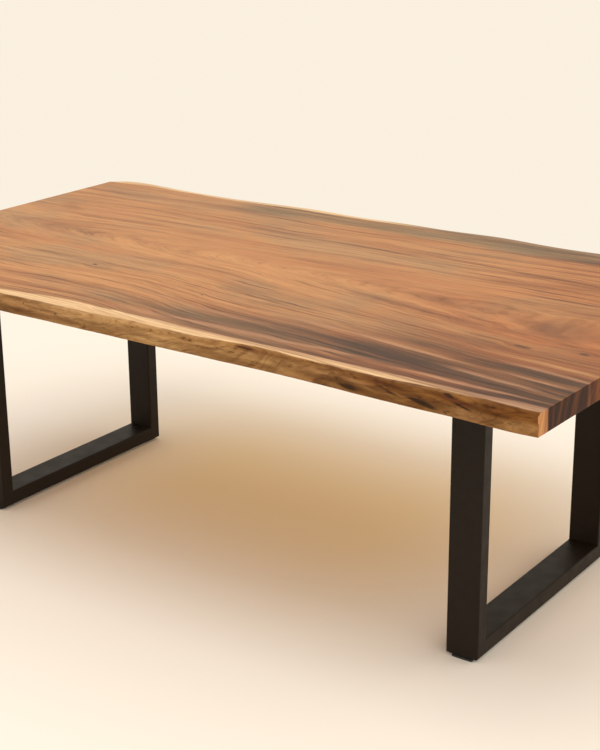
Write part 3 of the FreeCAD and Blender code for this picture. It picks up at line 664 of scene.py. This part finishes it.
class Grain:
    """The slab's grain: streaks along it, on growth rings that curve across it."""

    def __init__(self, t):
        self.t = t
        self.shaped_planes = {}
        place = t.add("TexCoord").outputs["Object"]
        self.x, self.y, self.z = x, y, z = t.add("SeparateXYZ", {0: place}).outputs
        ripple = t.noise(t.vector(t.times(x, 9.0), t.times(y, 26.0), z))
        waved = t.math("ADD", y, t.spread(ripple, 0.014))
        self.plan = t.vector(x, waved, 0.0)
        self.elevation = t.vector(x, t.math("ADD", z, t.spread(ripple, 0.006)), 0.0)
        drift = t.noise(t.vector(t.times(x, 1.1), t.times(y, 1.9), z))
        wobble = t.noise(t.vector(t.times(x, 4.5), t.times(y, 9.0), z))
        v = t.math("ADD", waved, t.math("ADD", t.spread(drift, 0.10), t.spread(wobble, 0.020)))
        slope = t.times(t.step(y, 0.05, -0.2), 0.12)
        v = t.scaled(t.math("MAXIMUM", t.math("ADD", x, 0.2), 0.0), slope, v)
        for knot_x, knot_y, long, wide, turn in KNOTS:
            around = self.patch(self.plan, knot_x, knot_y, 3.5 * long, 3.5 * wide, turn)
            away = t.math("SUBTRACT", knot_y, y)
            v = t.scaled(t.times(around, 0.85), away, v)
        rising = t.math("SMOOTH_MIN", x, PITH_LEVEL, 0.5)
        pith = t.scaled(rising, PITH_RISE, TOP - PITH_DEPTH)
        below = t.math("SUBTRACT", z, pith)
        self.ring = t.math("SQRT", t.math("ADD", t.times(v, v), t.times(below, below)))
        self.side = t.times(v, 6.0)

    def streaks(self, length, width, shift, detail=2.0, roughness=0.6, across=None):
        t = self.t
        lengthwise = t.scaled(self.x, 1 / length, shift)
        ring = self.ring if across is None else across
        return t.noise(t.vector(lengthwise, t.math("DIVIDE", ring, width), self.side), 1,
                       detail, roughness)

    def patch(self, plane, middle, height, long, wide, turn):
        """1 in the middle of an ellipse, falling to 0 at its rim.

        Marks of one shape share a plane, turned and drawn in so that they are round on it,
        because a plane for each mark would make the shader too big to compile.
        """
        t = self.t
        aspect = min(ASPECTS, key=lambda ratio: abs(math.log(ratio * wide / long)))
        angle = math.radians(TURN_STEP * round(turn / TURN_STEP))
        key = (plane, aspect, angle)
        if key not in self.shaped_planes:
            shaped = t.add("Mapping", {"Vector": plane, "Rotation": (0, 0, angle),
                                       "Scale": (aspect, 1, 1)}, vector_type="TEXTURE")
            self.shaped_planes[key] = shaped.outputs[0]
        along = (math.cos(angle) * middle + math.sin(angle) * height) / aspect
        across = math.cos(angle) * height - math.sin(angle) * middle
        reach = t.add("VectorMath", {0: self.shaped_planes[key], 1: (along, across, 0)},
                      operation="DISTANCE")
        return t.step(reach.outputs["Value"], wide, 0.0)

    def stain(self, marks, plane, kind, broken):
        """How strongly one kind of mark shows, frayed by streaks."""
        t = self.t
        total = 0.0
        for name, middle, height, long, wide, turn, strength in marks:
            if name == kind:
                share = self.patch(plane, middle, height, long, wide, turn)
                total = t.scaled(share, strength, total)
        return t.times(total, t.step(broken, 0.30, 0.58), clamp=True)

    def near_zone(self, near, streak):
        """The shares of reddish haze and of grey in the dark heartwood along the near edge."""
        t = self.t
        runs_in = t.step(self.x, -0.50, 0.60)
        widens = t.step(self.x, 0.10, 0.95)
        uneven = t.scaled(streak, 0.09, near)
        haze_end = t.scaled(widens, 0.15, 0.22)
        haze = t.step(t.math("SUBTRACT", uneven, haze_end), 0.07, -0.07)
        haze = t.times(haze, t.step(near, 0.0, 0.02))
        grey_end = t.scaled(widens, 0.055, 0.170)
        grey = t.step(t.math("SUBTRACT", uneven, grey_end), 0.03, -0.03)
        grey = t.times(grey, t.step(near, 0.025, 0.065))
        lasting = t.times(t.step(self.x, 0.72, 1.0), t.step(near, 0.17, 0.10))
        lasting = t.math("MAXIMUM", grey, lasting)
        return t.times(haze, runs_in), t.times(lasting, runs_in)

    def far_zone(self, far, streak):
        """The share of olive brown along the far edge."""
        t = self.t
        span = t.times(t.step(self.x, -0.56, -0.42), t.step(self.x, 0.95, 0.60))
        uneven = t.scaled(streak, 0.10, far)
        return t.times(span, t.step(uneven, 0.185, 0.115))


def heart_colour(t, grain, near, far, lively, thin, marks):
    broad = grain.streaks(1.4, 0.080, 0.0, 4)
    medium = grain.streaks(0.85, 0.024, 3.7, 5, 0.66)
    rusty = grain.streaks(1.1, 0.048, 6.1, 4)
    shady = grain.streaks(0.60, 0.015, 21.3, 5, 0.68)
    clouds = t.noise(t.vector(t.times(grain.x, 2.6), grain.side, grain.z), 1, 3, 0.6)
    colour = t.mix(t.step(broad, 0.36, 0.62), TAN, GOLDEN)
    colour = t.mix(t.times(t.step(rusty, 0.47, 0.66), 0.60), colour, RUST)
    ashen = t.times(t.step(clouds, 0.44, 0.64), t.step(lively, 0.35, 0.95))
    colour = t.mix(ashen, colour, ASHEN, "MULTIPLY")
    share = t.times(t.step(medium, 0.48, 0.68), t.times(lively, 0.65))
    colour = t.mix(share, colour, STAINS["haze"][1], "MULTIPLY")
    share = t.times(t.step(shady, 0.55, 0.72), t.times(lively, 0.60))
    colour = t.mix(share, colour, STAINS["haze"][1], "MULTIPLY")
    haze, grey = grain.near_zone(near, broad)
    zones = (("haze", haze, 0.72), ("grey", grey, 0.76),
             ("olive", grain.far_zone(far, broad), 0.95))
    varied = t.scaled(t.step(shady, 0.34, 0.62), 0.9, 0.45)
    for kind, zone, strength in zones:
        share = t.times(zone, t.times(varied, strength), clamp=True)
        colour = t.mix(share, colour, STAINS[kind][1], "MULTIPLY")
    colour = t.mix(t.step(grain.x, 0.35, 0.90), colour, RIGHT_HEART, "MULTIPLY")
    for kind, (blend, stain) in STAINS.items():
        share = grain.stain(marks, grain.plan, kind, medium if kind == "haze" else thin)
        colour = t.mix(t.times(share, 0.92), colour, stain, blend)
    # a dark line where the heartwood ends
    rim = t.times(t.step(near, 0.034, 0.010), t.step(medium, 0.20, 0.50))
    rim = t.times(rim, t.scaled(t.step(grain.x, 0.0, 0.5), 0.45, 0.35))
    colour = t.mix(rim, colour, STAINS["dark"][1], "MULTIPLY")
    for knot_x, knot_y, long, wide, turn in KNOTS:
        core = grain.patch(grain.plan, knot_x, knot_y, long, wide, turn)
        core = t.step(t.scaled(thin, 1.1, core), 0.60, 1.30)
        colour = t.mix(t.times(core, 0.80), colour, UMBER)
    return colour


def side_colour(t, grain, bark, marks):
    """The weathered skin of a live edge, with painted shade low down and in the near side's
    hollows, and the noise of its blotches.
    """
    layers = grain.streaks(0.30, 0.0045, 2.9, 3, 0.6, bark)
    blotch = t.noise(t.vector(t.times(grain.x, 9.0), grain.y, t.times(grain.z, 42.0)), 1, 4, 0.62)
    dull = t.mix(t.step(blotch, 0.36, 0.62), *DULL_SKIN)
    sunny = t.mix(t.step(blotch, 0.36, 0.62), *SUNNY_SKIN)
    bright = t.times(t.step(grain.x, 0.50, 0.20), t.step(grain.x, -0.42, -0.12))
    colour = t.mix(t.scaled(bright, 0.75, 0.25), dull, sunny)
    # painted shade: darker low on the skin, and more so towards the right
    lower = t.times(t.step(grain.z, 0.734, 0.714), t.step(grain.x, 0.90, 0.82))
    deep = t.scaled(t.step(grain.x, 0.50, 0.62), 0.5, 0.5)
    colour = t.mix(t.times(lower, deep), colour, PAINTED_LOWER_SHADE, "MULTIPLY")
    colour = t.mix(t.step(grain.x, 0.88, 1.00), colour, LAST_SKIN, "MULTIPLY")
    rough_end = t.step(grain.x, 0.58, 0.70)
    upper = t.step(t.scaled(rough_end, 0.014, grain.z), 0.732, 0.746)
    upper = t.times(upper, t.step(grain.x, -0.30, 0.40))
    upper = t.times(upper, t.scaled(rough_end, 0.3, 0.7))
    colour = t.mix(upper, colour, UPPER_SKIN, "MULTIPLY")
    layers = t.times(t.step(layers, 0.50, 0.72), 0.35)
    colour = t.mix(layers, colour, LAYER, "MULTIPLY")
    pits = t.noise(t.vector(t.times(grain.x, 34.0), grain.y, t.times(grain.z, 110.0)), 1, 4, 0.66)
    colour = t.mix(t.step(pits, 0.55, 0.74), colour, PIT, "MULTIPLY")
    near_side = t.step(grain.y, 0.0, -0.1)
    # stains, and painted shade and light, over the near side
    for kind, (blend, stain) in SIDE_STAINS_AND_PAINTED_SHADING.items():
        share = grain.stain(marks, grain.elevation, kind, blotch)
        colour = t.mix(t.times(share, near_side), colour, stain, blend)
    return colour, blotch


def wood_material(name, top_marks, side_marks, shine):
    """The wood, with the marks that can show on one part of the slab's surface."""
    t = new_material(name)
    grain = Grain(t)
    near, far, bark = (t.attribute(name) for name in ("near_depth", "far_depth", "bark_depth"))
    thin = grain.streaks(0.50, 0.0095, 9.1, 4, 0.70)
    fine = grain.streaks(0.16, 0.0026, 13.3)
    fibre = grain.streaks(0.05, 0.0009, 17.3)
    fray = t.spread(grain.streaks(0.25, 0.008, 5.0), 0.016)
    near, far = t.math("ADD", near, fray), t.math("ADD", far, fray)
    calm = grain.patch(grain.plan, *CALM)
    strong = t.times(t.step(grain.x, 0.45, 0.70), t.step(grain.y, -0.22, -0.10))
    lively = t.scaled(calm, -0.6, t.scaled(strong, 0.7, 1.0))
    colour = heart_colour(t, grain, near, far, lively, thin, top_marks)
    # sapwood bands along both live edges
    heart = t.math("MINIMUM", t.step(near, -0.003, 0.004), t.step(far, -0.003, 0.004))
    rings = grain.streaks(0.5, 0.006, 7.7, 3, 0.6, bark)
    sap = t.mix(t.step(rings, 0.42, 0.68), CREAM, STRAW)
    sap = t.mix(t.times(t.step(grain.x, 0.70, 0.95), 0.85), sap, ROSY_STRAW)
    dull = t.times(t.step(grain.y, 0.0, 0.1), t.step(grain.x, -0.10, 0.20))
    sap = t.mix(dull, sap, DULL_STRAW)
    inner = t.times(t.step(near, -0.020, -0.008), t.step(grain.x, -0.05, 0.15))
    sap = t.mix(inner, sap, INNER_SAP, "MULTIPLY")
    colour = t.mix(heart, sap, colour)
    # the skin of the live edges, below the top's arris
    facing = t.add("NewGeometry").outputs["Normal"]
    face_x = t.add("SeparateXYZ", {0: facing}).outputs[0]
    sawn = t.step(t.math("ABSOLUTE", face_x), 0.6, 0.8)
    skin, blotch = side_colour(t, grain, bark, side_marks)
    rolled = t.step(t.math("ADD", grain.z, t.spread(fine, 0.003)), TOP - 0.0005, TOP - 0.0050)
    over_edge = t.math("ADD", t.attribute("skin_depth"), t.spread(blotch, 0.012))
    over_edge = t.times(t.step(over_edge, 0.003, -0.003), t.step(grain.y, 0.0, -0.1))
    is_skin = t.times(t.math("MAXIMUM", rolled, over_edge),
                      t.step(t.math("MINIMUM", near, far), 0.004, -0.006))
    is_skin = t.times(is_skin, t.math("SUBTRACT", 1.0, sawn))
    colour = t.mix(is_skin, colour, skin)
    # fine streaks and fibre, and the sawn ends, which soak up more of the oil
    busy = t.scaled(t.step(grain.y, 0.0, -0.35), 0.5, 1.0)
    busy = t.times(lively, busy)
    for streak, weight in ((thin, 0.55), (fine, 0.32)):
        share = t.times(t.step(streak, 0.46, 0.70), t.times(busy, weight))
        colour = t.mix(share, colour, STREAK, "MULTIPLY")
    share = t.times(t.step(fibre, 0.50, 0.70), 0.34)
    colour = t.mix(share, colour, FIBRE, "MULTIPLY")
    soaked = t.mix(heart, SOAKED_SAP, SOAKED_HEART)
    colour = t.mix(sawn, colour, soaked, "MULTIPLY")
    # relief and gloss
    relief = t.scaled(t.math("SUBTRACT", fine, blotch), is_skin, fibre)
    normal = t.bump(relief, 0.0012, 0.25)
    rough = t.scaled(fibre, 0.16, 0.40)
    rough = t.scaled(is_skin, 0.18, rough)
    return t.principled(colour, rough, normal, shine)


def make_slab():
    mesh = make_slab_mesh()
    reach_ends = [mark for mark in TOP_MARKS if abs(mark[1]) + mark[3] > NEAR_ENDS]
    side_marks = [mark[:-1] for mark in SIDE_MARKS]
    mesh.materials.append(wood_material("wood_top", TOP_MARKS, (), TOP_SHINE))
    mesh.materials.append(wood_material("wood_live_edge", (), side_marks, SIDE_SHINE))
    mesh.materials.append(wood_material("wood_sawn", reach_ends, (), SIDE_SHINE))
    shape_attributes(mesh)
    mesh.shade_smooth()
    mesh.set_sharp_from_angle(angle=math.radians(SLAB_SHARP))
    slab = add_object("live_edge_slab", mesh)
    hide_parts("tabletop_slab")
    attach(slab, "root")


# ---- metal and plastic ----

# The darker and the lighter colour of each.
COAT = ((0.0115, 0.0072, 0.0042), (0.0160, 0.0102, 0.0060))
ZINC = ((0.50, 0.51, 0.53), (0.64, 0.64, 0.65))
BRASS = ((0.66, 0.47, 0.21), (0.78, 0.59, 0.30))
NYLON = ((0.012, 0.012, 0.012), (0.02, 0.02, 0.02))
METAL_ROUGHNESS = 0.35
COAT_SHINE = 0.14
STEEL_EDGE, NYLON_EDGE = 0.0008, 0.0005  # radii of the edges that shading alone rounds


def powder_coat():
    t = new_material("frame_steel")
    place = t.add("TexCoord").outputs["Object"]
    peel = t.noise(place, 900, 2)
    edge = t.add("Bevel", {"Radius": STEEL_EDGE}, samples=4).outputs[0]
    normal = t.bump(peel, 0.00004, 0.5, edge)
    colour = t.mix(t.noise(place, 60, 2), *COAT)
    rough = t.step(t.noise(place, 25, 3), 0.3, 0.7)
    rough = t.scaled(rough, 0.08, 0.42)
    return t.principled(colour, rough, normal, COAT_SHINE)


def plain_metal(name, colours):
    """Bare plated or turned metal, a little clouded."""
    t = new_material(name)
    place = t.add("TexCoord").outputs["Object"]
    colour = t.mix(t.step(t.noise(place, 260, 3), 0.35, 0.65), *colours)
    rough = t.scaled(t.noise(place, 700, 3), 0.25, METAL_ROUGHNESS - 0.12)
    normal = t.bump(t.noise(place, 1500, 2), 0.00002, 0.4)
    return t.principled(colour, rough, normal, metallic=1.0)


def foot_plastic():
    t = new_material("foot_plastic")
    place = t.add("TexCoord").outputs["Object"]
    colour = t.mix(t.noise(place, 200, 2), *NYLON)
    edge = t.add("Bevel", {"Radius": NYLON_EDGE}, samples=4).outputs[0]
    normal = t.bump(t.noise(place, 1800, 2), 0.00004, 0.5, edge)
    rough = t.scaled(t.noise(place, 60, 2), 0.16, 0.52)
    return t.principled(colour, rough, normal)


def dress_cad_nodes():
    steel = powder_coat()
    slots = {"frame_steel": steel, "channel_steel": steel,
             "zinc_steel": plain_metal("zinc_steel", ZINC),
             "insert_brass": plain_metal("insert_brass", BRASS),
             "foot_plastic": foot_plastic()}
    for subpart in frame["record"]["subparts"]:
        if subpart["material_slot"] in slots:
            dress(subpart["node"], slots[subpart["material_slot"]])


# ---- screws ----

TURN_STEPS = 24  # points round a screw
ROWS_PER_PITCH = 6
THREAD_DEPTH = 0.6  # in pitches
FACE_SHARE = 0.93  # the round face of a hexagon, as a share of its width across the flats
HEAD_REACH = 0.03  # corners nearer than this belong to one screw's head
SCREW_SHARP = 25  # degrees
# Across the flats, height of the head, radius, length under the head and pitch.
BOLTS = {"plate_bolts": (0.013, 0.0053, 0.004, 0.030, 0.00125),
         "channel_bolts": (0.010, 0.0040, 0.003, 0.020, 0.00100)}
COLLAR_FLATS = 0.019
SPIGOT_RADIUS, STEM_RADIUS, STEM_PITCH = 0.0040, 0.0050, 0.0015
COLLAR_LOW, COLLAR_HIGH, STEM_TIP = 0.003, 0.006, 0.038  # above the stem's lowest point
CHAMFER = 0.0003
TIP_TAPER = 0.0010  # the tip is this much higher and thinner than the thread's end


def round_ring(radius, z):
    return [(radius, z)] * TURN_STEPS


def hex_ring(flats, z, cut=0):
    """A hexagon's rim, its corners cut back by 30 degrees, up for 1 and down for -1."""
    ring = []
    for step in range(TURN_STEPS):
        off_flat = math.radians(360 * step / TURN_STEPS % 60 - 30)
        radius = flats / 2 / math.cos(off_flat)
        drop = (radius - FACE_SHARE * flats / 2) * math.tan(math.radians(30))
        ring.append((radius, z + cut * drop))
    return ring


def thread_rings(radius, pitch, low, high):
    """A right-hand thread between two heights."""
    rings = []
    rows = round((high - low) / pitch * ROWS_PER_PITCH)
    for row in range(rows + 1):
        z = low + (high - low) * row / rows
        turns = [(z / pitch - step / TURN_STEPS) % 1 for step in range(TURN_STEPS)]
        rings.append([(radius - THREAD_DEPTH * pitch * abs(2 * turn - 1), z) for turn in turns])
    return rings


def bolt_rings(flats, head, radius, length, pitch):
    """A hex bolt with its head down, from the head's face at height 0."""
    tip = head + length
    return [round_ring(FACE_SHARE * flats / 2, 0), hex_ring(flats, 0, 1), hex_ring(flats, head),
            round_ring(radius - THREAD_DEPTH * pitch, head),
            *thread_rings(radius, pitch, head + 0.3 * pitch, tip - 0.8 * pitch),
            round_ring(radius - pitch, tip)]


def stem_rings(low):
    """A levelling foot's spigot, hex collar and M10 stem, from its lowest point."""
    collar, shaft, tip = low + COLLAR_LOW, low + COLLAR_HIGH, low + STEM_TIP
    face = FACE_SHARE * COLLAR_FLATS / 2
    return [round_ring(SPIGOT_RADIUS - CHAMFER, low), round_ring(SPIGOT_RADIUS, low + CHAMFER),
            round_ring(SPIGOT_RADIUS, collar), round_ring(face, collar),
            hex_ring(COLLAR_FLATS, collar, 1), hex_ring(COLLAR_FLATS, shaft, -1),
            round_ring(face, shaft), round_ring(STEM_RADIUS - THREAD_DEPTH * STEM_PITCH, shaft),
            *thread_rings(STEM_RADIUS, STEM_PITCH, shaft + CHAMFER, tip - TIP_TAPER),
            round_ring(STEM_RADIUS - TIP_TAPER, tip)]


def head_axes(node_name):
    """Where a node's screws stand, as (x, y), from the lowest corners of their heads."""
    points = [vertex.co for vertex in nodes[node_name].data.vertices]
    low = min(point.z for point in points)
    heads = []
    for point in sorted((p.x, p.y) for p in points if p.z < low + LEVEL):
        near = [head for head in heads if math.dist(head[0], point) < HEAD_REACH]
        if near:
            near[0].append(point)
        else:
            heads.append([point])
    return [tuple((min(values) + max(values)) / 2 for values in zip(*head)) for head in heads]


def make_screws(node_name, body, axes, rings):
    """One piece with a screw on each axis, in the place of a CAD node."""
    points, faces = [], []
    for x, y in axes:
        first = len(points)
        for ring in rings:
            for step, (radius, z) in enumerate(ring):
                turn = math.radians(360 * step / TURN_STEPS)
                points.append((x + radius * math.cos(turn), y + radius * math.sin(turn), z))
        for row in range(len(rings) - 1):
            for step in range(TURN_STEPS):
                low = first + row * TURN_STEPS
                following = (step + 1) % TURN_STEPS
                faces.append((low + step, low + following, low + following + TURN_STEPS,
                              low + step + TURN_STEPS))
        faces.append(tuple(range(first + TURN_STEPS - 1, first - 1, -1)))
        faces.append(tuple(range(len(points) - TURN_STEPS, len(points))))
    mesh = bpy.data.meshes.new(node_name + "_threaded")
    mesh.from_pydata(points, [], faces)
    mesh.shade_smooth()
    mesh.set_sharp_from_angle(angle=math.radians(SCREW_SHARP))
    mesh.materials.append(bpy.data.materials["zinc_steel"])
    piece = add_object(node_name + "_threaded", mesh)
    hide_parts(node_name)
    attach(piece, body)


def make_all_screws():
    for node_name, sizes in BOLTS.items():
        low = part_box(node_name)[0].z
        rings = [[(r, z + low) for r, z in ring] for ring in bolt_rings(*sizes)]
        make_screws(node_name, "root", head_axes(node_name), rings)
    for side in ("left", "right"):
        for end in ("front", "rear"):
            node_name = f"{side}_{end}_foot_stem"
            low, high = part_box(node_name)
            axis = ((low.x + high.x) / 2, (low.y + high.y) / 2)
            make_screws(node_name, f"{side}_{end}_stem", [axis], stem_rings(low.z))


# ---- stage and light ----

FLOOR_RADIUS = 40.0
FLOOR_COLOUR = (0.960, 0.900, 0.810)
PAINTED_SHADOW_COLOUR = (0.90, 0.70, 0.41)  # painted shadow: the floor's colour where the table's shade, warmed by the wood, is deepest
PAINTED_SHADOW_MIDDLE = (-0.10, 0.20)  # where the painted shadow is deepest, as x and y
PAINTED_SHADOW_X, PAINTED_SHADOW_Y = (1.15, 0.25), (0.85, 0.05)  # it grows between these distances from there
SEEN_FAR = (0.965, 0.875, 0.745)  # the backdrop as the camera shows it
BLEND = (1.3, 3.6)  # the floor runs out into it between these distances from the origin
WORLD_COLOUR = (1.0, 0.94, 0.86)
WORLD_STRENGTH, RIGHT_GAIN, FRONT_GAIN = 0.90, 0.85, -0.18  # the gains add to the strength
KEY_PLACE = (0.0, -1.6, 6.0)
KEY_SIZE = (3.6, 3.0)
KEY_POWER = 78  # watts
KEY_COLOUR = (1.0, 0.97, 0.93)


def shown_share(t):
    """1 for the rays that show the backdrop: the camera's, reflected ones and ones through."""
    path = t.add("LightPath").outputs
    seen = t.math("MAXIMUM", path["Is Camera Ray"], path["Is Glossy Ray"])
    return t.math("MAXIMUM", seen, path["Is Transmission Ray"])


def make_floor():
    """A pale floor that runs out into an even backdrop, keeps the table's shadow and has a shadow
    painted into its colour under the table.
    """
    t = new_material("floor")
    place = t.add("TexCoord").outputs["Object"]
    x, y = t.add("SeparateXYZ", {0: place}).outputs[:2]
    along = t.math("ABSOLUTE", t.math("SUBTRACT", x, PAINTED_SHADOW_MIDDLE[0]))
    across = t.math("ABSOLUTE", t.math("SUBTRACT", y, PAINTED_SHADOW_MIDDLE[1]))
    # a shadow painted into the floor's colour under the table
    under = t.times(t.step(along, *PAINTED_SHADOW_X), t.step(across, *PAINTED_SHADOW_Y))
    colour = t.mix(under, FLOOR_COLOUR, PAINTED_SHADOW_COLOUR)
    matt = t.add("BsdfDiffuse", {"Color": colour})
    even = t.add("Emission", {"Color": SEEN_FAR, "Strength": 1.0})
    away = t.add("VectorMath", {0: place}, operation="LENGTH").outputs["Value"]
    share = t.times(t.step(away, *BLEND), shown_share(t))
    shader = t.add("MixShader", {0: share, 1: matt.outputs[0], 2: even.outputs[0]})
    t.surface(shader.outputs[0])
    turns = [math.radians(degrees) for degrees in range(0, 360, 5)]
    ring = [(FLOOR_RADIUS * math.cos(a), FLOOR_RADIUS * math.sin(a), 0) for a in turns]
    mesh = bpy.data.meshes.new("floor")
    mesh.from_pydata(ring, [], [tuple(range(len(ring)))])
    mesh.materials.append(t.owner)
    add_object("floor", mesh)


def make_world():
    """Soft warm light from all round, brighter from the right and dimmer from the front."""
    world = bpy.data.worlds.new("studio")
    t = Tree(world)
    way = t.add("TexCoord").outputs["Generated"]
    x, y = t.add("SeparateXYZ", {0: way}).outputs[:2]
    strength = t.scaled(t.step(x, 0.0, 1.0), RIGHT_GAIN, WORLD_STRENGTH)
    strength = t.scaled(t.step(y, 0.1, -0.9), FRONT_GAIN, strength)
    light = t.add("Background", {"Color": WORLD_COLOUR, "Strength": strength})
    seen = t.add("Background", {"Color": SEEN_FAR, "Strength": 1.0})
    shade = t.add("MixShader", {0: shown_share(t), 1: light.outputs[0], 2: seen.outputs[0]})
    t.surface(shade.outputs[0])
    bpy.context.scene.world = world


def make_key_light():
    """One large soft box over the table, a little in front of it."""
    data = bpy.data.lights.new("key", "AREA")
    data.shape = "RECTANGLE"
    data.size, data.size_y = KEY_SIZE
    data.energy = KEY_POWER
    data.color = KEY_COLOUR
    add_object("key", data).location = KEY_PLACE


bpy.context.scene.view_settings.view_transform = "Standard"
make_camera()
make_slab()
dress_cad_nodes()
make_all_screws()
make_floor()
make_world()
make_key_light()
